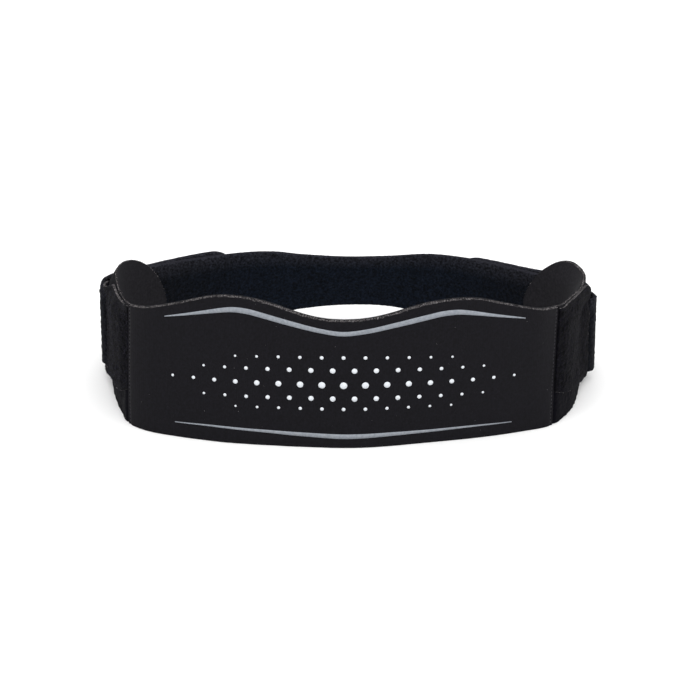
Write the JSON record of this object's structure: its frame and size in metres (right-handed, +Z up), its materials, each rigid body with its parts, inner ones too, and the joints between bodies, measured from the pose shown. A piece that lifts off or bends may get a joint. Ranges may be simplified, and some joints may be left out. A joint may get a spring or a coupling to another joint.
{
  "type": "patella brace",
  "caption": "Closed patella strap with a contoured wrap-round front pad, rounded inner tongues and an elastic back band folded through slotted side straps.",
  "frame": {"origin": "on the surface that the brace stands on, under the middle of its outline", "axes": "+X to the right side of the loop as drawn, the widest way; -Y out of the printed front; +Z up, out of the loop's upper rim"},
  "size_m": [0.1556, 0.0822, 0.0485],
  "materials": {
    "pad_fabric": "smooth matt knit laminated to foam",
    "wing_loop_fabric": "fuzzy brushed loop fabric",
    "anchor_tape": "fuzzy brushed loop tape",
    "band_pile": "matt blue-black loop pile elastic",
    "silver_print": "silver-grey screen print",
    "foam_edge": "cut edge of the laminate, with loose fibres",
    "stitch_thread": "spun sewing thread"
  },
  "bodies": {
    "root": {"front_pad": "pad_fabric", "side_facing_left": "wing_loop_fabric", "side_facing_right": "wing_loop_fabric", "anchor_strap_left": "anchor_tape", "anchor_strap_right": "anchor_tape", "back_strap": "band_pile"}
  },
  "joints": []
}
